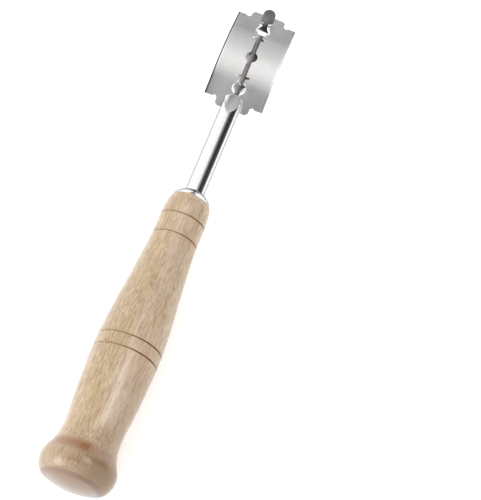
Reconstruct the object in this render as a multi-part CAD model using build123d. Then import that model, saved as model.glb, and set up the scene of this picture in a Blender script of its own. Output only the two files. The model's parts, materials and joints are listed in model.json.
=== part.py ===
from build123d import *
from math import asin, cos, radians, sin
import os

# Bread lame: a turned wooden handle with a steel collar, a polished steel shaft ending in a blade tongue,
# and a double-edge razor blade threaded on the tongue so that it stays bowed.
#
# Row frame, in millimetres: +X runs along the tool from the pommel to the tip, +Z is the face of the tool
# that the blade bulges towards, and the origin is under the middle of the tool, level with the lowest point
# of the pommel. Every sub-part is drawn with x counted from the pommel's end and z from the tool's own axis,
# and is moved into the row frame when it is written.

# ---- driving dimensions ----
TOOL_LENGTH = 194.6
HANDLE_LENGTH = 110.8
POMMEL_RADIUS = 13.2
CROWN_RADIUS = 28.0  # the domed end of the pommel
CROWN_EDGE_RADIUS = 10.6  # where the crown turns into the pommel's rounded side
WIDEST_STATION = 7.8  # where the pommel is widest
NOSE_START = (104.0, 8.1)
NOSE_RADIUS = 7.1  # of the handle's flat end, which the ferrule sits on
GROOVE_STATIONS = (48.4, 53.0, 94.8, 102.5)  # two pairs of turned V grooves
GROOVE_WIDTH = 0.9
GROOVE_DEPTH = 0.55
GROOVE_RISE = 0.4  # how far a groove's section stands out of the wood, so that it cuts clean

FERRULE_RADIUS = 6.95  # of the domed steel collar between the wood and the shaft
FERRULE_END = 114.4
FERRULE_SPIGOT = (5.0, 108.3)  # radius of the collar's hidden spigot, and where it ends in the wood

SHAFT_RADIUS = 3.5
SHAFT_BASE = 106.5  # bottom of the recess that the shaft's base sits in

TANG_RADIUS = 2.25  # hidden end of the shaft, glued in the handle
TANG_END = 73.0
TANG_GROOVE_STATIONS = (78.0, 84.0, 90.0, 96.0, 101.0)
TANG_GROOVE_RADIUS = 0.45
TANG_CHAMFER = 0.6
BORE_RADIUS = 2.5
BORE_END = 71.0

BLADE_CENTRE = 172.6  # x of the blade's middle
BLADE_LENGTH = 43.0  # over the end tabs, before it is bowed
BLADE_BODY_LENGTH = 37.3
BLADE_WIDTH = 22.0
BLADE_THICKNESS = 0.1
BEVEL_WIDTH = 0.9
EDGE_THICKNESS = 0.02
TAB_WIDTH = 12.6
TAB_CORNER = 1.0  # cut off each corner of the tabs
NOTCH_RADIUS = 0.75  # of the round notch between a tab and the blade's shoulder
NOTCH_OFFSET = (0.25, 0.95)  # of the notch's middle from the shoulder's end and from the tab's side

# The blade's slot, with places measured along the flat blade from its middle.
MIDDLE_HOLE_RADIUS = 2.2
SLOT_WIDTH = 1.7
KEYED_SLOT_WIDTH = 2.3  # of the slot from each cross bar outwards
CROSS_BAR_PLACE = 8.5
CROSS_BAR = (0.9, 4.6)
LOOP_PLACE = 12.9
LOOP_RADIUS = 2.55
END_BAR = (16.9, 18.0)
END_BAR_WIDTH = 5.4

BOW_RADIUS = 42.0  # of the blade's back face in its middle
BOW_ANGLE = 16.0  # slope of the blade's straight ends, in degrees
BOW_HEIGHT = 1.8  # of the back face above the tool's axis, at the blade's middle

TONGUE_THICKNESS = 1.6
TONGUE_SET_BACK = 0.2  # how far the tongue's middle lies behind its ends
TONGUE_WIDTH = 4.45
NECK_WIDTH = 1.9
PADDLE_WIDTH = 4.5
PADDLE_START = 16.2  # from the blade's middle
PADDLE_CORNER = (0.5, 0.25)  # cut off the corners where the paddle starts
MIDDLE_END = 8.6  # where the tongue's wide middle stops, from the blade's middle
INNER_NECK = (9.3, 10.6)
LUG = (11.9, 12.4)
LUG_HEIGHT = 1.25  # top of the lug's ridge above the axis
NECK_STATION = 14.6
LUG_FLANK = (0.9, 0.35)  # a point of each lug's outer flank, back and out from the outer neck
BACK_STEP = (10.0, 13.0)  # where the back face comes level with the tongue's ends, from the blade's middle
SHOULDER_START = 154.2
TAPER_START = 147.4  # where the shaft begins to flatten towards the tongue
BACK_FLAT_START = 150.2  # end of the cut that clears the blade's near tab
BACK_FLAT_HEIGHT = -2.0

OVERSIZE = 40.0  # reach of a cutting or keeping tool past the steel


def bowed_point(arc):
    """Place of a point of the blade's back face: distance along the tool from the blade's middle, and drop."""
    slope = min(abs(arc) / BOW_RADIUS, radians(BOW_ANGLE))
    straight = abs(arc) - BOW_RADIUS * slope
    along = BOW_RADIUS * sin(slope) + straight * cos(slope)
    drop = BOW_RADIUS * (1 - cos(slope)) + straight * sin(slope)
    return (along if arc > 0 else -along), drop


def bowed_x(arc):
    """Distance along the tool, from the blade's middle, of a point that far along the bowed blade."""
    return bowed_point(arc)[0]


def groove_section(contour, station):
    """V section of one turned groove, standing a little out of the wood."""
    radius = contour_radius(contour, station)
    spread = GROOVE_WIDTH / 2 * (1 + GROOVE_RISE / GROOVE_DEPTH)
    return make_face(
        Polyline(
            (station, radius - GROOVE_DEPTH),
            (station + spread, radius + GROOVE_RISE),
            (station - spread, radius + GROOVE_RISE),
            close=True,
        )
    )


def contour_radius(contour, station):
    """Radius of the handle's side contour at one station, by halving the interval that holds it."""
    low, high = 0.0, 1.0
    for _ in range(40):
        middle = (low + high) / 2
        if (contour @ middle).X < station:
            low = middle
        else:
            high = middle
    return (contour @ low).Y


def handle():
    """Turned wooden handle with a domed pommel, four grooves and a blind hole for the shaft's tang."""
    crown_angle = asin(CROWN_EDGE_RADIUS / CROWN_RADIUS)

    def on_crown(angle):
        return (CROWN_RADIUS * (1 - cos(angle)), CROWN_RADIUS * sin(angle))

    crown = ThreePointArc((0, 0), on_crown(crown_angle / 2), on_crown(crown_angle))
    rim = Spline(
        on_crown(crown_angle),
        (4.0, 12.4),
        (WIDEST_STATION, POMMEL_RADIUS),
        tangents=[(sin(crown_angle), cos(crown_angle)), (1, 0)],
    )
    side = Spline(
        (WIDEST_STATION, POMMEL_RADIUS),
        (11.9, 11.8),
        (15.5, 10.6),
        (20.5, 10.05),
        (29.0, 10.6),
        (39.0, 11.2),
        (51.5, 11.5),
        (64.0, 10.8),
        (75.0, 9.7),
        (87.0, 8.65),
        (96.0, 8.15),
        NOSE_START,
        tangents=[(1, 0), (1, -0.03)],
    )
    nose = Spline(
        NOSE_START,
        (108.2, 7.8),
        (HANDLE_LENGTH, NOSE_RADIUS),
        tangents=[(1, -0.03), (1, -0.55)],
    )
    spigot_radius, spigot_end = FERRULE_SPIGOT
    hole = Polyline(
        (HANDLE_LENGTH, NOSE_RADIUS),
        (HANDLE_LENGTH, spigot_radius),
        (spigot_end, spigot_radius),
        (spigot_end, SHAFT_RADIUS),
        (SHAFT_BASE, SHAFT_RADIUS),
        (SHAFT_BASE, BORE_RADIUS),
        (BORE_END, BORE_RADIUS),
        (BORE_END, 0),
        (0, 0),
    )
    section = make_face([crown, rim, side, nose, hole])
    for station in GROOVE_STATIONS:
        section -= groove_section(side, station)
    return revolve(section, Axis.X, 360)


def tang():
    """The shaft's hidden end: a thinner rod with ring grooves that key it into the adhesive."""
    length = SHAFT_BASE - TANG_END
    rod = Pos(TANG_END, 0, 0) * Rot(0, 90, 0) * Cylinder(
        TANG_RADIUS, length, align=(Align.CENTER, Align.CENTER, Align.MIN)
    )
    rod = chamfer(rod.edges().group_by(Axis.X)[0], TANG_CHAMFER)
    for station in TANG_GROOVE_STATIONS:
        rod -= Pos(station, 0, 0) * Rot(0, 90, 0) * Torus(TANG_RADIUS, TANG_GROOVE_RADIUS)
    return rod


def ferrule():
    """Domed steel collar on the handle's end, with a spigot let into the wood and a hole for the shaft."""
    spigot_radius, spigot_end = FERRULE_SPIGOT
    dome = Spline(
        (HANDLE_LENGTH, FERRULE_RADIUS),
        (112.7, 5.9),
        (FERRULE_END, SHAFT_RADIUS),
        tangents=[(1, -0.15), (0.35, -1)],
    )
    inside = Polyline(
        (FERRULE_END, SHAFT_RADIUS),
        (spigot_end, SHAFT_RADIUS),
        (spigot_end, spigot_radius),
        (HANDLE_LENGTH, spigot_radius),
        (HANDLE_LENGTH, FERRULE_RADIUS),
    )
    return revolve(make_face([dome, inside]), Axis.X, 360)


def rod_blank():
    """Round polished shaft, before its far end is flattened."""
    length = TOOL_LENGTH - SHAFT_BASE
    rod = Cylinder(SHAFT_RADIUS, length, align=(Align.CENTER, Align.CENTER, Align.MIN))
    return Pos(SHAFT_BASE, 0, 0) * Rot(0, 90, 0) * rod


def tongue_plan():
    """Outline of the shaft and tongue seen from the front, with its necks, lugs and round paddle tip."""
    neck = NECK_WIDTH / 2
    wide = TONGUE_WIDTH / 2
    paddle = PADDLE_WIDTH / 2
    middle = BLADE_CENTRE
    tip_centre = TOOL_LENGTH - paddle
    diagonal = radians(45)

    def lug(sign):
        """Half outline over one lug, from the middle's shoulder out to the outer neck."""
        waist = Polyline(
            (middle + sign * MIDDLE_END, wide),
            (middle + sign * INNER_NECK[0], neck),
            (middle + sign * INNER_NECK[1], neck),
            (middle + sign * LUG[0], wide),
            (middle + sign * LUG[1], wide),
        )
        outer = Spline(
            (middle + sign * LUG[1], wide),
            (middle + sign * (NECK_STATION - LUG_FLANK[0]), neck + LUG_FLANK[1]),
            (middle + sign * NECK_STATION, neck),
            tangents=[(sign * 0.35, -1), (sign, 0)],
        )
        return [waist, outer]

    edges = [
        Polyline(
            (TOOL_LENGTH, 0),
            (SHAFT_BASE, 0),
            (SHAFT_BASE, SHAFT_RADIUS),
            (SHOULDER_START, SHAFT_RADIUS),
            (middle - PADDLE_START, neck),
            (middle - NECK_STATION, neck),
        ),
        *lug(-1),
        Line((middle - MIDDLE_END, wide), (middle + MIDDLE_END, wide)),
        *lug(1),
        Polyline(
            (middle + NECK_STATION, neck),
            (middle + PADDLE_START - PADDLE_CORNER[0], neck),
            (middle + PADDLE_START, paddle - PADDLE_CORNER[1]),
            (middle + PADDLE_START + PADDLE_CORNER[0], paddle),
            (tip_centre, paddle),
        ),
        ThreePointArc(
            (tip_centre, paddle),
            (tip_centre + paddle * sin(diagonal), paddle * cos(diagonal)),
            (TOOL_LENGTH, 0),
        ),
    ]
    half = make_face(edges)
    return half + mirror(half, Plane.XZ)


def tongue_side():
    """Side outline of the shaft and tongue, which flattens, sets back behind the blade and has two lugs."""
    top = TONGUE_THICKNESS / 2
    middle = BLADE_CENTRE
    clear_of_rod = SHAFT_RADIUS + 0.5
    taper_end = top + 0.15

    def front(sign):
        """Front face over one lug, from the middle outwards."""
        return [
            (middle + sign * INNER_NECK[1], top - TONGUE_SET_BACK),
            (middle + sign * LUG[0], LUG_HEIGHT),
            (middle + sign * LUG[1], LUG_HEIGHT),
            (middle + sign * NECK_STATION, top),
        ]

    def back(sign):
        """Back face below one lug, from the middle outwards."""
        return [
            (middle + sign * BACK_STEP[0], -top - TONGUE_SET_BACK),
            (middle + sign * BACK_STEP[1], -top),
        ]

    points = [
        (SHAFT_BASE, clear_of_rod),
        (TAPER_START, clear_of_rod),
        (TAPER_START, SHAFT_RADIUS),
        (middle - PADDLE_START, taper_end),
        *reversed(front(-1)),
        *front(1),
        (TOOL_LENGTH, top),
        (TOOL_LENGTH, -top),
        *reversed(back(1)),
        *back(-1),
        (middle - PADDLE_START, -top),
        (BACK_FLAT_START, BACK_FLAT_HEIGHT),
        (TAPER_START, -SHAFT_RADIUS),
        (TAPER_START, -clear_of_rod),
        (SHAFT_BASE, -clear_of_rod),
    ]
    return make_face(Polyline(*points, close=True))


def shaft():
    """One steel piece: hidden tang, round shaft and the flattened tongue that holds the blade."""
    plan = extrude(tongue_plan(), OVERSIZE / 2, both=True)
    side = extrude(Plane.XZ * tongue_side(), OVERSIZE / 2, both=True)
    steel = rod_blank() & plan & side
    return steel + tang()


def adhesive():
    """Cured adhesive that fills the handle's hole round the tang."""
    length = SHAFT_BASE - BORE_END
    fill = Pos(BORE_END, 0, 0) * Rot(0, 90, 0) * Cylinder(
        BORE_RADIUS, length, align=(Align.CENTER, Align.CENTER, Align.MIN)
    )
    return fill - tang()


def blade_path():
    """Centre line of the bowed blade: an arc in the middle and a straight run at each end."""

    def middle_of_thickness(arc):
        along, drop = bowed_point(arc)
        return (along, 0, BOW_HEIGHT + BLADE_THICKNESS / 2 - drop)

    turn = BOW_RADIUS * radians(BOW_ANGLE)
    end = BLADE_LENGTH / 2
    return Wire(
        [
            Line(middle_of_thickness(-end), middle_of_thickness(-turn)),
            ThreePointArc(*[middle_of_thickness(arc) for arc in (-turn, 0, turn)]),
            Line(middle_of_thickness(turn), middle_of_thickness(end)),
        ]
    )


def blade_blank():
    """Bowed strip with ground bevels along both long edges."""
    edge, face = EDGE_THICKNESS / 2, BLADE_THICKNESS / 2
    half = BLADE_WIDTH / 2
    ground = half - BEVEL_WIDTH
    right_side = [(half, -edge), (half, edge), (ground, face)]
    left_side = [(-x, y) for x, y in reversed(right_side)]
    corners = [*right_side, *left_side, (-ground, -face), (ground, -face)]
    path = blade_path()
    start = Plane(origin=path @ 0, x_dir=(0, 1, 0), z_dir=path % 0)
    return sweep(start * make_face(Polyline(*corners, close=True)), path)


def blade_plan():
    """Outline of the blade seen from the front: notched corners and end tabs."""
    tab = TAB_WIDTH / 2
    body_end = bowed_x(BLADE_BODY_LENGTH / 2)
    tab_end = bowed_x(BLADE_LENGTH / 2)
    past_end = 0.5
    notch_along, notch_across = NOTCH_OFFSET
    corner = Rot(0, 0, 45) * Rectangle(2 * TAB_CORNER, 2 * TAB_CORNER)
    outline = Rectangle(2 * body_end, BLADE_WIDTH) + Rectangle(2 * (tab_end + past_end), TAB_WIDTH)
    cuts = Sketch()
    for end in (-1, 1):
        for edge in (-1, 1):
            cuts += Pos(end * (body_end + notch_along), edge * (tab + notch_across)) * Circle(NOTCH_RADIUS)
            cuts += Pos(end * (tab_end + past_end), edge * tab) * corner
    return outline - cuts


def blade_slot():
    """The blade's central slot: round middle hole, cross bars, keyed loops and an end bar at each end."""
    keyed = KEYED_SLOT_WIDTH / 2
    loop = bowed_x(LOOP_PLACE)
    cross_bar = bowed_x(CROSS_BAR_PLACE)
    bar_inner, bar_outer = [bowed_x(place) for place in END_BAR]
    slot = Rectangle(2 * loop, SLOT_WIDTH) + Circle(MIDDLE_HOLE_RADIUS)
    for end in (-1, 1):
        slot += Pos(end * loop, 0) * Circle(LOOP_RADIUS)
        slot += Pos(end * cross_bar, 0) * Rectangle(*CROSS_BAR)
        slot += Pos(end * (cross_bar + bar_outer) / 2, 0) * Rectangle(bar_outer - cross_bar, 2 * keyed)
        bar = Polyline(
            (end * bar_inner, keyed),
            (end * bar_outer, END_BAR_WIDTH / 2),
            (end * bar_outer, -END_BAR_WIDTH / 2),
            (end * bar_inner, -keyed),
            close=True,
        )
        slot += make_face(bar)
    return slot


def blade():
    """Double-edge razor blade, bowed over the tongue."""
    cutter = extrude(Pos(0, 0, -OVERSIZE / 2) * (blade_plan() - blade_slot()), OVERSIZE)
    return Pos(BLADE_CENTRE, 0, 0) * (blade_blank() & cutter)


PARTS = {
    "handle": handle,
    "ferrule": ferrule,
    "tang_adhesive": adhesive,
    "shaft": shaft,
    "blade": blade,
}

os.makedirs("parts", exist_ok=True)
to_row_frame = Pos(-TOOL_LENGTH / 2, 0, POMMEL_RADIUS)
for name, make in PARTS.items():
    part = to_row_frame * make()
    part.label = name
    print(f"{name}: {len(part.solids())} solid, {part.volume:.1f} mm3, valid {part.is_valid}")
    export_step(part, f"parts/{name}.step")
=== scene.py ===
# %% [markdown]
# # A bread lame
# A baker scores dough with this tool just before it goes into the oven. It has a turned wooden handle, a
# polished steel rod and an ordinary razor blade that the rod's flat tongue holds in a bow. The frame gives
# each piece's true size and place, so this lesson only adds clean surfaces, finishes, light and a camera.

import bpy
import bmesh
import json
from math import asin, cos, pi, radians, sin, tan
from mathutils import Matrix, Vector

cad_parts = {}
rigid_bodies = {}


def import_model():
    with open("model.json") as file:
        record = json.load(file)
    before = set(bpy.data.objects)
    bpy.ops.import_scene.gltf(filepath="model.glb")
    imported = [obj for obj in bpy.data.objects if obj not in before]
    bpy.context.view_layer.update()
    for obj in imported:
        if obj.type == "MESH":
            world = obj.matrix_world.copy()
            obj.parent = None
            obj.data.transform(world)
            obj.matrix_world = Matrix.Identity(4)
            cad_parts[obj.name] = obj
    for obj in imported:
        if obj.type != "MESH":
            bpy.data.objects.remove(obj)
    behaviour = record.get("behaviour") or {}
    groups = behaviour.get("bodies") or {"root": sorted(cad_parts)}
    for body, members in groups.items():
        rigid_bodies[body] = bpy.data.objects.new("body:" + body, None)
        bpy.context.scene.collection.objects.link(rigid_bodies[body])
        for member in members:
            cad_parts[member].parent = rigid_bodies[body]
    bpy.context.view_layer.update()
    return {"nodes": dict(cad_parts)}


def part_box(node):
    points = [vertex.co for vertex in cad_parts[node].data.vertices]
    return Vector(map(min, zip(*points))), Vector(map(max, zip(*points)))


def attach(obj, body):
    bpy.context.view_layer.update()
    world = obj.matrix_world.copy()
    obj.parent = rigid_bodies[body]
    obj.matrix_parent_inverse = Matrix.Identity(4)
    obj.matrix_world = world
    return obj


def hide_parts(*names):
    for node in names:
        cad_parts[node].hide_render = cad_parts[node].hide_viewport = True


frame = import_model()
MM = 0.001
print("nodes:", sorted(frame["nodes"]))

# %% [markdown]
# The handle, its collar and the rod share one axis. So a few measures of the frame come first: where the
# axis runs, and where the pommel, the handle's nose, the tip of the tongue and the middle of the blade are.

# %% Measure the frame
handle_low, handle_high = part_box("handle")
_, shaft_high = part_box("shaft")
blade_low, blade_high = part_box("blade")
POMMEL_END = handle_low[0]
NOSE_END = handle_high[0]
TIP_END = shaft_high[0]
AXIS_HEIGHT = (handle_low[2] + handle_high[2]) / 2
BLADE_CENTRE = (blade_low[0] + blade_high[0]) / 2
axis_point = Vector((0, 0, AXIS_HEIGHT))
print(f"handle {1000 * (NOSE_END - POMMEL_END):.1f} mm, tool {1000 * (TIP_END - POMMEL_END):.1f} mm long")

# %% [markdown]
# A few small helpers are used all through. The first takes a copy of a frame node and welds its loose
# triangles, so that the copy can be cut and bevelled. The next two cut a mesh with a plane and round its
# sharp corners, because no real corner is a knife edge. Then one marks which edges stay crisp: a smooth
# surface needs smooth shading, but a ground edge has to break it. The last turns a finished bmesh into an
# object.

# %% Helpers for meshes
SAME_POINT = 1e-6
ON_PLANE = 1e-7


def welded_copy(node):
    """A bmesh copy of a frame node with its loose triangles joined."""
    bm = bmesh.new()
    bm.from_mesh(frame["nodes"][node].data)
    bmesh.ops.remove_doubles(bm, verts=bm.verts, dist=SAME_POINT)
    return bm


def cut_across(bm, point, normal, **choices):
    """New edges wherever the plane through a point crosses the mesh."""
    everything = bm.verts[:] + bm.edges[:] + bm.faces[:]
    bmesh.ops.bisect_plane(bm, geom=everything, plane_co=point, plane_no=normal, **choices)


def round_corners(bm, sharper_than, offset):
    """Bevel each edge that folds by more than an angle."""
    bm.normal_update()
    fold = radians(sharper_than)
    corners = [e for e in bm.edges if len(e.link_faces) == 2 and e.calc_face_angle() > fold]
    bmesh.ops.bevel(
        bm, geom=corners, offset=offset, offset_type="OFFSET", affect="EDGES", segments=2, profile=0.5,
        material=-1, clamp_overlap=True,
    )
    print("rounded edges:", len(corners))


def shade(bm, crisp_angle):
    """Smooth shading everywhere except at edges sharper than the angle."""
    bm.normal_update()
    for face in bm.faces:
        face.smooth = True
    for edge in bm.edges:
        folded = len(edge.link_faces) == 2 and edge.calc_face_angle() > radians(crisp_angle)
        edge.smooth = not folded


def finished(name, bm, body, node):
    """Object made from a bmesh, which rides on a body and stands for a frame node."""
    mesh = bpy.data.meshes.new(name)
    bm.to_mesh(mesh)
    bm.free()
    piece = bpy.data.objects.new(name, mesh)
    bpy.context.scene.collection.objects.link(piece)
    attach(piece, body)
    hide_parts(node)
    print(f"{name}: {len(mesh.polygons)} faces")
    return piece


# %% [markdown]
# The handle and its steel collar were turned on a lathe, so each shape is one line swung round the axis.
# That line is already in the frame: slicing the frame's piece along its length leaves the profile, and
# bmesh's spin swings it round in even steps. The result is a tidy mesh of long quads whose edges follow the
# turning.


# %% Turning
def profile_of(node):
    """The line in which the plane through the axis cuts one side of a frame node."""
    bm = welded_copy(node)
    cut_across(bm, axis_point, (0, 1, 0), dist=ON_PLANE, clear_inner=True, clear_outer=True)
    below = [v for v in bm.verts if v.co.z < AXIS_HEIGHT - SAME_POINT]
    bmesh.ops.delete(bm, geom=below, context="VERTS")
    bmesh.ops.remove_doubles(bm, verts=bm.verts, dist=2 * SAME_POINT)
    bmesh.ops.dissolve_degenerate(bm, edges=bm.edges, dist=SAME_POINT)
    return bm


def turned(node, steps):
    """A frame node's profile, swung once round the axis; points on the axis become one pole."""
    bm = profile_of(node)
    print(node, "profile points:", len(bm.verts))
    for v in bm.verts:
        if v.co.z < AXIS_HEIGHT + 5 * SAME_POINT:
            v.co.z = AXIS_HEIGHT
    bmesh.ops.spin(
        bm, geom=bm.verts[:] + bm.edges[:], cent=axis_point, axis=(1, 0, 0), angle=2 * pi, steps=steps,
        use_merge=True,
    )
    bmesh.ops.remove_doubles(bm, verts=bm.verts, dist=2 * SAME_POINT)
    bmesh.ops.recalc_face_normals(bm, faces=bm.faces)
    return bm


# %% [markdown]
# The handle is one piece of wood with a bead-shaped pommel, a gentle swell for the palm and two pairs of V
# grooves. It gets many steps, because its outline is seen large. The walls of the V grooves meet at more
# than the crisp angle, so the grooves stay sharp while the long curves shade smoothly.

# %% Turn the handle
HANDLE_STEPS = 160
GROOVE_FOLD = 24
bm = turned("handle", HANDLE_STEPS)
shade(bm, GROOVE_FOLD)
turned_handle = finished("turned_handle", bm, "tool", "handle")

# %% [markdown]
# The collar caps the end of the wood, so that it can't split where the rod goes in. Its rims are rounded a
# little, as polishing does, and a rounded rim catches a thin line of light.

# %% Turn the collar
COLLAR_STEPS = 128
bm = turned("ferrule", COLLAR_STEPS)
round_corners(bm, 35, 0.08 * MM)
shade(bm, 50)
steel_collar = finished("steel_collar", bm, "tool", "ferrule")

# %% [markdown]
# The rod is one length of steel. Its far end is flattened into a tongue with two lugs, and polishing takes
# the sharpness off every corner. The frame has the shape with knife-sharp corners, so the copy's flat
# facets are dissolved into whole faces first, and then each corner gets a tiny rounding that catches the
# light.

# %% Soften the rod
SAME_FLAT = radians(0.4)
bm = welded_copy("shaft")
bmesh.ops.dissolve_limit(
    bm, angle_limit=SAME_FLAT, verts=bm.verts, edges=bm.edges, use_dissolve_boundaries=False
)
round_corners(bm, 17, 0.12 * MM)

# %% [markdown]
# Smooth shading blends the direction of a surface from one end of a face to the other. The rod's facets are
# very long, so the bend at their far end would show in the mirror image all the way down. Cutting rings
# round the rod keeps each part's direction its own.

# %% Ring the rod
FLATTENING_START = TIP_END - 47.2 * MM
RING_GAP = 3 * MM
ring = FLATTENING_START - 0.5 * MM
while ring > NOSE_END:
    cut_across(bm, (ring, 0, 0), (1, 0, 0), dist=ON_PLANE)
    ring -= RING_GAP
shade(bm, 40)

# %% [markdown]
# The upper flats of the tongue are duller than the rest of the rod. A mesh can carry two materials: each
# face has an index that says which one it takes. The faces that look up, past the rod's shoulder, take the
# second.

# %% Mark the tongue's flats
TONGUE_START = blade_low[0] + 2.5 * MM
LOOKS_UP = 0.96
tongue_flats = 0
for face in bm.faces:
    if face.calc_center_median().x > TONGUE_START and face.normal.z > LOOKS_UP:
        face.material_index = 1
        tongue_flats += 1
print("flat faces of the tongue:", tongue_flats)
steel_rod = finished("steel_rod", bm, "tool", "shaft")

# %% [markdown]
# A razor blade is a stamped strip a tenth of a millimetre thick, ground along both long edges. It is
# easiest to make flat, as the factory does: a thin plate, thinned along its edges, with cutters that stamp
# out its slot and corners. The plate is sliced into narrow strips afterwards, because only a mesh with
# enough rows can bend smoothly.

# %% Plate of the blade
BLADE_WIDTH = blade_high[1] - blade_low[1]
HALF_LENGTH = (blade_high[0] - blade_low[0]) / 2
THICKNESS = 0.1 * MM
EDGE_THICKNESS = 0.02 * MM
GROUND_WIDTH = 0.9 * MM
bm = bmesh.new()
bmesh.ops.create_cube(
    bm, size=1, matrix=Matrix.Diagonal((2 * HALF_LENGTH, BLADE_WIDTH, THICKNESS, 1))
)
for side in (-1, 1):
    ground_line = side * (BLADE_WIDTH / 2 - GROUND_WIDTH)
    cut_across(bm, (0, ground_line, 0), (0, 1, 0))
for v in bm.verts:
    if abs(v.co.y) > BLADE_WIDTH / 2 - SAME_POINT:
        v.co.z *= EDGE_THICKNESS / THICKNESS
plate_mesh = bpy.data.meshes.new("plate")
bm.to_mesh(plate_mesh)
bm.free()
plate = bpy.data.objects.new("plate", plate_mesh)
bpy.context.scene.collection.objects.link(plate)
print("plate:", [round(1000 * s, 2) for s in plate.dimensions])

# %% [markdown]
# The cutters are plain prisms and round punches. All the openings of a real blade come from these few
# shapes: a narrow slot, a round middle, a short bar across each half, a big round loop that lets the lug
# through, and a flared bar at each end. A Boolean modifier takes the whole collection at once, so
# overlapping cutters do no harm.

# %% Cutters of the blade
CUTTER_DEPTH = 2 * MM
cutters = bpy.data.collections.new("cutters")
bpy.context.scene.collection.children.link(cutters)


def add_cutter(bm):
    """Put a finished cutter in the collection."""
    bmesh.ops.recalc_face_normals(bm, faces=bm.faces)
    mesh = bpy.data.meshes.new("cutter")
    bm.to_mesh(mesh)
    bm.free()
    cutters.objects.link(bpy.data.objects.new("cutter", mesh))


def punch(x, y, radius, segments=48):
    """Round punch; sizes in millimetres from the blade's middle."""
    bm = bmesh.new()
    bmesh.ops.create_cone(
        bm, cap_ends=True, segments=segments, radius1=radius * MM, radius2=radius * MM,
        depth=CUTTER_DEPTH, matrix=Matrix.Translation((x * MM, y * MM, 0)),
    )
    add_cutter(bm)


def block(x, y, length, width, turn=0.0):
    """Straight cutter; sizes in millimetres from the blade's middle, turn in degrees."""
    bm = bmesh.new()
    place = Matrix.Translation((x * MM, y * MM, 0)) @ Matrix.Rotation(radians(turn), 4, "Z")
    size = Matrix.Diagonal((length * MM, width * MM, CUTTER_DEPTH, 1))
    bmesh.ops.create_cube(bm, size=1, matrix=place @ size)
    add_cutter(bm)


# %% [markdown]
# The bow is an arc with a straight run at each end, because nothing presses on the strip's free ends. The
# first function says how far along the tool a point of the strip comes to lie, and the second how far down.

# %% The bow
BOW_RADIUS = 42.0
BOW_ANGLE = radians(16)
STRIP_HALF = 21.5


def bowed_along(strip):
    """Distance along the tool of a point that far along the strip, in millimetres."""
    bend = min(strip / BOW_RADIUS, BOW_ANGLE)
    return BOW_RADIUS * sin(bend) + (strip - BOW_RADIUS * bend) * cos(bend)


def bow_at(along):
    """Drop below the bow's crest, and slope, at a distance along the tool in millimetres."""
    turn_off = BOW_RADIUS * sin(BOW_ANGLE)
    reach = abs(along)
    slope = asin(min(reach, turn_off) / BOW_RADIUS)
    drop = BOW_RADIUS * (1 - cos(slope)) + max(reach - turn_off, 0) * tan(BOW_ANGLE)
    return drop, slope


print(f"the blade's ends lie {bow_at(bowed_along(STRIP_HALF))[0]:.2f} mm below its crest")

# %% [markdown]
# The slot lets the tongue's lugs through and then holds their necks. Its sizes are those of the flat strip,
# so bowed_along first moves each place to where the bow will put it. The stamped parts are: the narrow
# slot, the round middle, a bar across each half, and near each end the round loop with a wider neck on both
# sides of it.

# %% Stamp the slot
NARROW_HALF, NECK_HALF = 0.85, 1.15
MIDDLE_RADIUS, LOOP_RADIUS = 2.2, 2.55
CROSS_BAR = (0.9, 4.6)
bar_x, loop_x = bowed_along(8.5), bowed_along(12.9)
end_bar_inner, end_bar_outer = bowed_along(16.9), bowed_along(18.0)
block(0, 0, 2 * loop_x, 2 * NARROW_HALF)
punch(0, 0, MIDDLE_RADIUS)
for end in (-1, 1):
    punch(end * loop_x, 0, LOOP_RADIUS, 64)
    block(end * bar_x, 0, *CROSS_BAR)
    block(end * (bar_x + loop_x) / 2, 0, loop_x - bar_x, 2 * NECK_HALF)
    block(end * (loop_x + end_bar_outer) / 2, 0, end_bar_outer - loop_x, 2 * NECK_HALF)

# %% [markdown]
# At each end the slot widens into a bar like a flared trumpet. A cube is enough for that: its outer corners
# are moved further apart than its inner ones.

# %% Stamp the flared bars
FLARE_HALF = 2.7
for end in (-1, 1):
    bm = bmesh.new()
    bmesh.ops.create_cube(bm, size=1, matrix=Matrix.Translation((0.5, 0, 0)))
    for v in bm.verts:
        at_outer = v.co.x > 0.5
        v.co.y *= 2 * (FLARE_HALF if at_outer else NECK_HALF) * MM
        v.co.x = end * (end_bar_outer if at_outer else end_bar_inner) * MM
        v.co.z *= CUTTER_DEPTH
    add_cutter(bm)

# %% [markdown]
# A tab stands out at each end of the blade, with a round notch beside it and its own corners cut off. Each
# corner takes three cutters: a block for the step beside the tab, a small punch for the notch, and a block
# turned by 45 degrees for the cut-off corner.

# %% Stamp the corners
BODY_HALF, TAB_HALF = 18.65, 6.3
NOTCH_RADIUS, CORNER_BLOCK = 0.75, 1.98
STEP_DEPTH, PAST_THE_EDGE = 4, 11.5
body_end, tab_end = bowed_along(BODY_HALF), bowed_along(STRIP_HALF)
for end in (-1, 1):
    for side in (-1, 1):
        step_middle = side * (TAB_HALF + PAST_THE_EDGE) / 2
        block(end * (body_end + STEP_DEPTH / 2), step_middle, STEP_DEPTH, PAST_THE_EDGE - TAB_HALF)
        punch(end * (body_end + 0.25), side * (TAB_HALF + 0.95), NOTCH_RADIUS, 32)
        block(end * (tab_end + 0.5), side * TAB_HALF, CORNER_BLOCK, CORNER_BLOCK, 45)

# %% [markdown]
# The Boolean modifier stamps all openings at once, and the cutters are thrown away. Then the plate is
# sliced into strips and each point is moved down to the bow. Dividing the thickness by the cosine of the
# slope keeps the metal equally thick where it slopes. The folds and the lines where the grinding starts
# stay crisp, and the rest is smooth.

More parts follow.
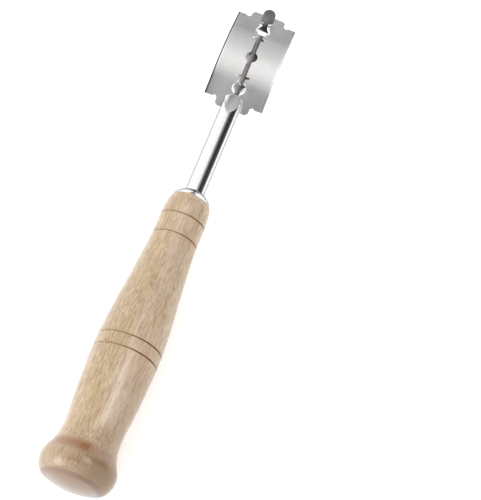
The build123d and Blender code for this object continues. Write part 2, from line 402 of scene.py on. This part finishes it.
# %% Cut and bend the blade
stamp = plate.modifiers.new("stamp", "BOOLEAN")
stamp.operation = "DIFFERENCE"
stamp.operand_type = "COLLECTION"
stamp.collection = cutters
stamp.solver = "EXACT"
stamp.use_self = True
bpy.context.view_layer.update()
bm = bmesh.new()
bm.from_object(plate, bpy.context.evaluated_depsgraph_get())
for o in list(cutters.objects):
    bpy.data.objects.remove(o)
bpy.data.collections.remove(cutters)
bpy.data.objects.remove(plate)
STRIP = 0.45
strips_a_side = int(21 / STRIP)
for k in range(-strips_a_side, strips_a_side + 1):
    cut_across(bm, (k * STRIP * MM, 0, 0), (1, 0, 0), dist=1e-8)
CREST = blade_high[2] - THICKNESS / 2
for v in bm.verts:
    drop, slope = bow_at(v.co.x / MM)
    v.co.z = CREST - drop * MM + v.co.z / cos(slope)
    v.co.x += BLADE_CENTRE
bmesh.ops.remove_doubles(bm, verts=bm.verts, dist=ON_PLANE)
bm.normal_update()
for face in bm.faces:
    face.smooth = True
for edge in bm.edges:
    start, end = (v.co for v in edge.verts)
    folded = len(edge.link_faces) != 2 or edge.calc_face_angle() > radians(25)
    on_ground_line = abs(start.y - end.y) < ON_PLANE and abs(start.y) > BLADE_WIDTH / 2 - 1.1 * GROUND_WIDTH
    edge.smooth = not (folded or on_ground_line)
razor_blade = finished("razor_blade", bm, "blade", "blade")

# %% [markdown]
# ## Finishes
# A material is a small graph of nodes. The next helper adds a node and wires its inputs in one call, so the
# graphs below read as recipes. Every pattern is read in Object coordinates: the pieces sit at the origin,
# so these are real metres in the tool's own frame, and the grain stays where it is when the camera moves.


# %% Helpers for materials
class Graph:
    """A node tree, with short calls that add a node and wire its inputs."""

    def __init__(self, tree):
        self.tree = tree

    def add(self, kind, values=None, **settings):
        """A new node with its settings made and its inputs fed."""
        node = self.tree.nodes.new(kind)
        for key, value in settings.items():
            setattr(node, key, value)
        for key, value in (values or {}).items():
            self.feed(node.inputs[key], value)
        return node

    def feed(self, socket, value):
        """Wire a socket to another one, or give it a plain value."""
        if isinstance(value, bpy.types.NodeSocket):
            self.tree.links.new(value, socket)
        else:
            socket.default_value = value

    def math(self, operation, a, b=0.0):
        return self.add("ShaderNodeMath", {0: a, 1: b}, operation=operation).outputs[0]

    def times(self, a, b):
        return self.math("MULTIPLY", a, b)

    def span(self, value, low, high, to_low=0.0, to_high=1.0):
        """A soft ramp: to_low below low, to_high above high."""
        node = self.add(
            "ShaderNodeMapRange",
            {"Value": value, "From Min": low, "From Max": high, "To Min": to_low, "To Max": to_high},
            interpolation_type="SMOOTHSTEP",
        )
        return node.outputs["Result"]

    def mix(self, amount, a, b):
        """Colour a where the amount is 0 and colour b where it is 1."""
        return self.add("ShaderNodeMix", {0: amount, 6: a, 7: b}, data_type="RGBA").outputs[2]


class Recipe(Graph):
    """One material's node graph, read in the piece's own coordinates."""

    def __init__(self, name):
        self.material = bpy.data.materials.new(name)
        self.material.use_nodes = True
        super().__init__(self.material.node_tree)
        self.shader = self.tree.nodes["Principled BSDF"]
        self.place = self.add("ShaderNodeTexCoord").outputs["Object"]

    def stretched(self, scale, shift=(0, 0, 0)):
        """The piece's coordinates, scaled along each axis: a small scale draws a pattern out."""
        mapping = self.add("ShaderNodeMapping", {"Vector": self.place, "Scale": scale, "Location": shift})
        return mapping.outputs["Vector"]

    def noise(self, scale, detail=4.0, roughness=0.55, distortion=0.0, shift=(0, 0, 0)):
        node = self.add(
            "ShaderNodeTexNoise",
            {"Vector": self.stretched(scale, shift), "Scale": 1.0, "Detail": detail, "Roughness": roughness,
             "Distortion": distortion},
        )
        return node.outputs["Fac"]

    def set(self, socket_name, value):
        """Wire or set one input of the shader."""
        self.feed(self.shader.inputs[socket_name], value)

    def split(self):
        """Distance along the tool, across it and up."""
        node = self.add("ShaderNodeSeparateXYZ", {"Vector": self.place})
        return node.outputs["X"], node.outputs["Y"], node.outputs["Z"]

    def bump(self, height, distance, strength=1.0, normal=None):
        values = {"Height": height, "Distance": distance, "Strength": strength}
        if normal is not None:
            values["Normal"] = normal
        return self.add("ShaderNodeBump", values).outputs["Normal"]


def colour(red, green, blue):
    """Colour given as it looks on a screen, 0 to 255, turned into light values (the sRGB curve)."""

    def light(value):
        value /= 255
        return value / 12.92 if value <= 0.04045 else ((value + 0.055) / 1.055) ** 2.4

    return (light(red), light(green), light(blue), 1.0)


# %% [markdown]
# The handle is a pale, close-grained hardwood such as beech. Three things make it look like wood and not
# like brown paint: broad warm and pinkish bands, long fine streaks along the grain, and short dark flecks.
# The bands and streaks are noise textures, each stretched along the handle by a different amount.

# %% Wood: bands and streaks
wood = Recipe("lacquered_beech")
bands = wood.noise((9, 75, 60), detail=3, distortion=0.6, shift=(0.3, 0.1, 0.7))
warmth = wood.noise((16, 120, 140), detail=2, shift=(2.1, 5.0, 1.0))
streaks = wood.noise((100, 1700, 1700), detail=4, roughness=0.7)
fibres = wood.noise((230, 3000, 3000), detail=3, roughness=0.7)
darker_wood, lighter_wood = colour(150, 128, 92), colour(178, 152, 122)
pinkish_wood = colour(184, 156, 136)
dark_streak, light_fibre = colour(120, 96, 66), colour(196, 173, 144)
base = wood.mix(wood.span(bands, 0.36, 0.64), darker_wood, lighter_wood)
base = wood.mix(wood.span(warmth, 0.45, 0.66, 0.0, 0.55), base, pinkish_wood)
base = wood.mix(wood.span(streaks, 0.4, 0.56, 0.74, 0.0), base, dark_streak)
base = wood.mix(wood.span(fibres, 0.46, 0.64, 0.0, 0.74), base, light_fibre)

# %% [markdown]
# The wood's tone also changes round the handle: a more yellow band, the wood's own; a pale pinkish band,
# partly lighter wood and partly a painted sheen; and browner wood near the pommel, partly the wood's own
# and partly painted shade on the side away from the light. Their places are angles round the axis, in
# degrees from the top, with a wobble.

# %% Wood: growth bands
along, across, up = wood.split()
turn = wood.times(wood.math("ARCTAN2", across, wood.math("SUBTRACT", up, AXIS_HEIGHT)), 180 / pi)
drifting = wood.noise((24, 40, 40), detail=3, shift=(1.7, 0.4, 2.2))
turn = wood.math("ADD", turn, wood.span(drifting, 0.25, 0.75, -16.0, 16.0))
patchy = wood.noise((60, 90, 90), detail=4, roughness=0.6, shift=(4, 4, 9))


def band(middle, core, fade):
    """1 within some degrees of a place round the axis, fading to 0."""
    return wood.span(wood.math("ABSOLUTE", wood.math("SUBTRACT", turn, middle)), core, fade, 1.0, 0.0)


def up_to(start, end, before=0.0, after=1.0):
    """A soft ramp between two distances from the pommel's end, in millimetres."""
    return wood.span(along, POMMEL_END + start * MM, POMMEL_END + end * MM, before, after)


pale_wood_and_sheen, yellow_wood, brown_wood_and_shade = colour(190, 170, 154), colour(152, 127, 84), colour(126, 100, 70)
# Painted sheen, partly: the pale pinkish band stays at one place round the axis.
pale_and_sheen = wood.times(band(-22, 7, 32), wood.span(patchy, 0.3, 0.6, 0.35, 1.0))
pale_and_sheen = wood.times(pale_and_sheen, up_to(14, 24))
yellow = wood.times(band(21, 6, 24), wood.span(patchy, 0.35, 0.65, 0.9, 0.3))
# Painted shade, partly: browner on the side away from the light, near the pommel.
brown_and_shade = wood.times(band(-52, 18, 38), up_to(30, 62, 1.0, 0.0))
base = wood.mix(wood.times(yellow, 0.4), base, yellow_wood)
base = wood.mix(wood.times(brown_and_shade, 0.45), base, brown_wood_and_shade)
base = wood.mix(wood.times(pale_and_sheen, 0.42), base, pale_wood_and_sheen)

# %% [markdown]
# The flecks are the cut ends of the wood's rays. A Voronoi texture scatters them: each cell holds one dash,
# and the distance to the cell's middle fades it out.

# %% Wood: flecks
wobble = wood.noise((220, 500, 500), detail=2, shift=(7, 1, 3))
cells = wood.add(
    "ShaderNodeTexVoronoi",
    {"Vector": wood.stretched((420, 2000, 2000)), "Scale": 1.0, "Randomness": 1.0},
    feature="F1",
)
fleck = wood.span(cells.outputs["Distance"], 0.16, 0.34, 1.0, 0.0)
fleck = wood.times(fleck, wood.span(wobble, 0.42, 0.6))
ray_brown = colour(108, 80, 52)
base = wood.mix(wood.times(fleck, 0.5), base, ray_brown)

# %% [markdown]
# Where the turning cuts across the grain, on the pommel's crown, the wood drinks more lacquer and turns
# browner; the crown is also painted greyer towards the bottom, a painted reflection. The dark line on the
# rim is a painted reflection, the hollow behind the bead is orange-brown, partly wood and partly painted
# shade in the recess, and the bead is browner and painted darker on the side away from the light. Turners
# often burn such grooves with a wire, so the four V grooves are dark brown, partly burnt and partly painted
# shade. They fade to one side, where light falls into them.

# %% Wood: pommel and grooves
def near(station, core, fade):
    """1 within a distance of a station along the tool, fading to 0."""
    away = wood.math("ABSOLUTE", wood.math("SUBTRACT", along, POMMEL_END + station * MM))
    return wood.span(away, core * MM, fade * MM, 1.0, 0.0)


BEAD_END, HOLLOW_AT, RIM_AT = 17, 11.6, 1.9
GROOVES_AT = (48.4, 53.0, 94.8, 102.5)
# Painted shade, partly: the bead is browner, and darker on the side away from the light.
bead_brown_and_shade = wood.mix(streaks, colour(84, 58, 30), colour(136, 104, 66))
bead_tone_and_shade = wood.times(up_to(6, BEAD_END, 1.0, 0.0), wood.span(turn, -40.0, 30.0, 0.95, 0.4))
base = wood.mix(bead_tone_and_shade, base, bead_brown_and_shade)
# Painted reflection: the crown's end grain turns greyer towards the bottom.
crown_grain_and_reflection = wood.mix(streaks, colour(92, 80, 72), colour(158, 140, 128))
crown_end_grain_and_reflection = wood.mix(wood.span(up, 9 * MM, 21 * MM, 0.0, 0.75), crown_grain_and_reflection, colour(112, 80, 48))
base = wood.mix(up_to(1.3, RIM_AT, 0.9, 0.0), base, crown_end_grain_and_reflection)
# Colours for painted shade in the hollow, a painted reflection on the rim, and grooves partly burnt and
# partly painted shade.
hollow_orange_and_shade, rim_reflection_brown, burnt_and_shaded_brown = colour(128, 74, 12), colour(88, 52, 22), colour(116, 66, 26)
# Painted shade, partly: orange-brown in the hollow behind the bead.
hollow_shade = wood.times(near(HOLLOW_AT, 0.3, 3.0), wood.span(turn, -34.0, -4.0, 0.45, 0.85))
base = wood.mix(hollow_shade, base, hollow_orange_and_shade)
# Painted reflection: a dark line round the rim.
rim_reflection_line = wood.times(near(RIM_AT, 0.1, 0.75), wood.span(turn, -40.0, 20.0, 0.95, 0.6))
base = wood.mix(rim_reflection_line, base, rim_reflection_brown)
unlit_side = wood.span(across, -9 * MM, 5 * MM, 1.0, 0.05)
# The grooves' dark brown is partly burnt wood and partly painted shade.
for groove_at in GROOVES_AT:
    burnt_and_shade = wood.times(near(groove_at, 0.14, 0.42), unlit_side)
    base = wood.mix(burnt_and_shade, base, burnt_and_shaded_brown)
wood.set("Base Color", base)

# %% [markdown]
# Clear lacquer lies over the wood, so the shader's coat makes the highlights and the wood under it stays
# dull. The fibres and flecks can still be felt a little through the lacquer: that is a very low bump,
# hundredths of a millimetre.

# %% Wood: lacquer
pores = wood.bump(fibres, 0.03 * MM, 0.5)
pores = wood.bump(fleck, -0.02 * MM, 0.6, pores)
wood.set("Normal", pores)
wood.set("Roughness", wood.span(streaks, 0.3, 0.7, 0.42, 0.56))
wood.set("Coat Weight", 0.8)
wood.set("Coat Roughness", 0.15)
turned_handle.data.materials.append(wood.material)
print("wood nodes:", len(wood.tree.nodes))

# %% [markdown]
# The rod and its collar are polished. They mirror the studio, and only the faint lines that a polishing
# wheel leaves blur the reflection a little. Real steel is never perfectly even, so its roughness drifts
# slowly along its length.

# %% Steel of the rod
steel = Recipe("polished_steel")
wheel_lines = steel.noise((5200, 260, 260), detail=3, roughness=0.6)
drift = steel.noise((140, 160, 160), detail=3)
line_grey, plain_grey = colour(214, 214, 214), colour(228, 227, 226)
darker_at_grazing = (0.25, 0.25, 0.26, 1)
steel.set("Base Color", steel.mix(steel.span(wheel_lines, 0.35, 0.65), line_grey, plain_grey))
steel.set("Roughness", steel.span(drift, 0.3, 0.7, 0.05, 0.12))
steel.set("Normal", steel.bump(wheel_lines, 0.002 * MM, 0.4))
steel.set("Metallic", 1.0)
steel.set("Specular Tint", darker_at_grazing)
steel_rod.data.materials.append(steel.material)
steel_collar.data.materials.append(steel.material)

# %% [markdown]
# The flats of the tongue aren't polished like the rod. Their dark skin is partly a dull finish and partly a
# painted reflection of dark surroundings. One side of them is painted lighter, as painted light; the outer
# lug's far flank is painted darkest, as painted shade; and the paddle's grey is a painted reflection.

# %% Dull steel of the tongue's flats
dull = Recipe("dull_tongue_steel")
along_tongue, across_tongue, _ = dull.split()
scuffs = dull.noise((900, 2600, 900), detail=4, roughness=0.65)
blotches = dull.noise((260, 420, 300), detail=3, shift=(3, 1, 4))
# The dark colour is partly a painted reflection; the lighter grey is painted light, the flank colour
# painted shade and the paddle grey a painted reflection.
dark_skin_and_reflection, painted_lit_grey, painted_paddle_grey = colour(76, 72, 71), colour(196, 193, 192), colour(122, 121, 121)
painted_flank_shade, blotch_dark, scuff_grey = colour(66, 64, 63), colour(70, 66, 64), colour(178, 177, 176)
# Painted light: the flats are lighter towards one side.
painted_lit_side = dull.span(across_tongue, -1.2 * MM, 1.8 * MM)
# Painted shade on the outer lug's far flank.
outer_flank_painted_shade = dull.span(along_tongue, BLADE_CENTRE + 12.2 * MM, BLADE_CENTRE + 12.7 * MM)
# Painted reflection: the paddle is grey.
paddle_painted_reflection = dull.span(along_tongue, BLADE_CENTRE + 14.4 * MM, BLADE_CENTRE + 16.6 * MM)
tongue_colour = dull.mix(painted_lit_side, dark_skin_and_reflection, painted_lit_grey)
tongue_colour = dull.mix(outer_flank_painted_shade, tongue_colour, painted_flank_shade)
tongue_colour = dull.mix(paddle_painted_reflection, tongue_colour, painted_paddle_grey)
tongue_colour = dull.mix(dull.span(blotches, 0.35, 0.65, 0.3, 0.0), tongue_colour, blotch_dark)
tongue_colour = dull.mix(dull.span(scuffs, 0.5, 0.75, 0.0, 0.25), tongue_colour, scuff_grey)
dull.set("Base Color", tongue_colour)
dull.set("Roughness", dull.span(blotches, 0.3, 0.7, 0.28, 0.4))
dull.set("Normal", dull.bump(scuffs, 0.004 * MM, 0.5))
dull.set("Metallic", 1.0)
steel_rod.data.materials.append(dull.material)

# %% [markdown]
# The blade is satin: fine lines across its width spread a highlight into a soft glow. The ground margins
# along the two edges are brighter, with finer lines of their own from the grinding wheel. One honed edge is
# seen as a thin dark line, which is a painted reflection: a darker colour on that strip stands in for a
# dark thing for it to mirror.

# %% Steel of the blade
satin = Recipe("satin_blade_steel")
_, across_blade, _ = satin.split()
rolled = satin.noise((5200, 260, 400), detail=4, roughness=0.6)
ground = satin.noise((6500, 350, 400), detail=3, roughness=0.6)
cloud = satin.noise((70, 90, 90), detail=3)
EDGE_AT = BLADE_WIDTH / 2
margin = satin.span(satin.math("ABSOLUTE", across_blade), EDGE_AT - 0.95 * MM, EDGE_AT - 0.85 * MM)
# Painted reflection: a thin dark strip along one honed edge.
honed_edge_painted_dark = satin.span(across_blade, EDGE_AT - 0.5 * MM, EDGE_AT - 0.35 * MM)
face_grey = satin.mix(satin.span(rolled, 0.3, 0.7), colour(214, 213, 212), colour(223, 222, 221))
margin_grey = satin.mix(satin.span(ground, 0.3, 0.7), colour(222, 222, 222), colour(240, 240, 240))
# The colour of that painted dark reflection.
painted_dark_reflection = colour(60, 58, 58)
satin.set("Base Color", satin.mix(honed_edge_painted_dark, satin.mix(margin, face_grey, margin_grey), painted_dark_reflection))
lines = satin.add("ShaderNodeMix", {0: margin, 2: rolled, 3: ground}, data_type="FLOAT").outputs[0]
satin.set("Normal", satin.bump(lines, 0.002 * MM, 0.35))
face_roughness = satin.span(cloud, 0.3, 0.7, 0.26, 0.32)
satin.set("Roughness", satin.math("ADD", face_roughness, satin.times(margin, -0.06)))
satin.set("Metallic", 1.0)
razor_blade.data.materials.append(satin.material)

# %% [markdown]
# Glue fills the hole round the rod's hidden end. Nobody sees it unless the handle is taken away, but it
# still gets its own finish: cured amber resin with a little cloudiness.

# %% Glue
glue = Recipe("amber_glue")
haze = glue.noise((500, 900, 900), detail=4)
clear_amber, cloudy_amber = colour(196, 164, 106), colour(222, 198, 148)
glue.set("Base Color", glue.mix(haze, clear_amber, cloudy_amber))
glue.set("Roughness", glue.span(haze, 0.3, 0.7, 0.2, 0.4))
glue.set("Normal", glue.bump(haze, 0.02 * MM, 0.4))
sleeve = frame["nodes"]["tang_adhesive"]
sleeve.data.materials.clear()
sleeve.data.materials.append(glue.material)

# %% [markdown]
# ## Light and camera
# Polished steel shows its surroundings, so the studio matters more than the steel. The tool lies on white
# paper in a white room. The paper has a faint tooth, and it glows a little, as on a light table, so the
# shadows stay very pale.

# %% Floor
PAPER_GLOW = 0.16
floor_mesh = bpy.data.meshes.new("paper")
bm = bmesh.new()
bmesh.ops.create_grid(bm, x_segments=8, y_segments=8, size=2.0)
bm.to_mesh(floor_mesh)
bm.free()
paper = bpy.data.objects.new("paper", floor_mesh)
bpy.context.scene.collection.objects.link(paper)
paper_finish = Recipe("white_paper")
tooth = paper_finish.noise((900, 900, 900), detail=2)
paper_shade, paper_white = (0.95, 0.95, 0.95, 1), (0.97, 0.97, 0.97, 1)
paper_finish.set("Base Color", paper_finish.mix(tooth, paper_shade, paper_white))
paper_finish.set("Roughness", 0.9)
paper_finish.set("Specular IOR Level", 0.1)
paper_finish.set("Emission Color", (1, 1, 1, 1))
paper_finish.set("Emission Strength", PAPER_GLOW)
paper.data.materials.append(paper_finish.material)

# %% [markdown]
# The room is the world's background, and its brightness depends on two angles. Lean says how far a
# direction leans to the left or right of overhead, and pitch how far it points along the tool. A colour
# ramp turns each angle into a profile of brightness, which is easy to read and to change.

# %% Room
world = bpy.data.worlds.new("white_studio")
bpy.context.scene.world = world
world.use_nodes = True
room = Graph(world.node_tree)
direction = room.add("ShaderNodeTexCoord").outputs["Generated"]
parts = room.add("ShaderNodeSeparateXYZ", {"Vector": direction})
lean = room.math("ARCTAN2", parts.outputs["Y"], parts.outputs["Z"])
pitch = room.math("ARCSINE", parts.outputs["X"])


def profile(angle, stops):
    """A value that goes from stop to stop, each (degrees from overhead, value), as the angle changes."""
    share = room.add("ShaderNodeMapRange", {"Value": angle, "From Min": -pi / 2, "From Max": pi / 2})
    ramp_node = room.add("ShaderNodeValToRGB", {"Fac": share.outputs["Result"]})
    ramp = ramp_node.color_ramp
    while len(ramp.elements) < len(stops):
        ramp.elements.new(0.5)
    for stop, (degrees, value) in zip(ramp.elements, stops):
        stop.position = (degrees + 90) / 180
        stop.color = (value, value, value, 1)
    return ramp_node.outputs["Color"]


# %% [markdown]
# Two things break the white, because steel that mirrors only white would vanish. A dark panel stands on the
# right, where the rod mirrors it as its dark band. And the middle of the ceiling is brighter or darker
# along its length: the bowed blade mirrors that middle from end to end, so it gets its soft change between
# grey and white.

# %% Dark panel and ceiling
WHITE = 1.6
panel_across = profile(
    lean, [(-90, 0.85), (-78, 0.9), (-66, 0.97), (-38, 0.97), (-25, 0.83), (-13, 0.56), (-2, 0.0)]
)
panel_along = profile(pitch, [(9, 0.0), (17, 1.0), (36, 1.0), (46, 0.0)])
ceiling_across = profile(lean, [(-30, 0.0), (-15, 1.0), (25, 1.0), (45, 0.0)])
ceiling_along = profile(
    pitch,
    [(-90, 0.0), (-20, 0.0), (-15, 0.97), (-2, 0.94), (5, 0.6), (12, 0.25), (20, 0.17), (27.8, 0.16),
     (30, 0.34), (38, 0.48), (53, 0.58), (64, 0.8), (70, 0.98), (90, 0.98)],
)
past_panel = room.math("SUBTRACT", 1.0, room.times(panel_across, panel_along))
past_ceiling = room.math("SUBTRACT", 1.0, room.times(ceiling_across, ceiling_along))
background = room.tree.nodes["Background"]
room.feed(background.inputs["Strength"], room.times(room.times(past_panel, past_ceiling), WHITE))
room.feed(background.inputs["Color"], (1, 1, 1, 1))

# %% [markdown]
# Two soft square lamps add what an even room can't. The one on the left models the handle's roundness, and
# each of them leaves a small highlight on the pommel's lacquer.


# %% Lamps
def soft_lamp(name, toward, distance, size, watts):
    """Square soft light that faces the tool."""
    lamp = bpy.data.lights.new(name, "AREA")
    lamp.shape = "SQUARE"
    lamp.size = size
    lamp.energy = watts
    holder = bpy.data.objects.new(name, lamp)
    aim = Vector(toward).normalized()
    holder.location = aim * distance
    holder.rotation_euler = aim.to_track_quat("Z", "Y").to_euler()
    bpy.context.scene.collection.objects.link(holder)
    return holder


LAMP_DISTANCE = 1.2
soft_lamp("left_soft_light", (-0.58, 0.75, 0.42), LAMP_DISTANCE, size=0.66, watts=5.4)
soft_lamp("overhead_light", (0.1, -0.36, 0.93), LAMP_DISTANCE, size=0.42, watts=2.0)

# %% [markdown]
# The camera stands above the pommel and looks along the tool, turned so that the tool leans to the right.
# Its turn is a matrix of three directions at right angles: to the side, up the picture and back from the
# object. A long lens keeps the far end nearly as large as the near end.

# %% Camera
LONG_LENS, SENSOR_WIDTH = 138.06, 36
eye = Vector((-270.3, -57.9, 611.9)) * MM
look = Vector((0.415, 0.054, -0.908)).normalized()
top = Vector((0.843, 0.352, 0.406))
top = (top - top.dot(look) * look).normalized()
side = look.cross(top)
lens = bpy.data.cameras.new("camera")
lens.lens = LONG_LENS
lens.sensor_width = SENSOR_WIDTH
lens.clip_start = 0.01
camera = bpy.data.objects.new("camera", lens)
camera.matrix_world = Matrix.Translation(eye) @ Matrix((side, top, -look)).transposed().to_4x4()
bpy.context.scene.collection.objects.link(camera)
bpy.context.scene.camera = camera
bpy.context.scene.view_settings.view_transform = "Standard"
print(f"the camera is {eye.length:.3f} m from the middle of the tool")
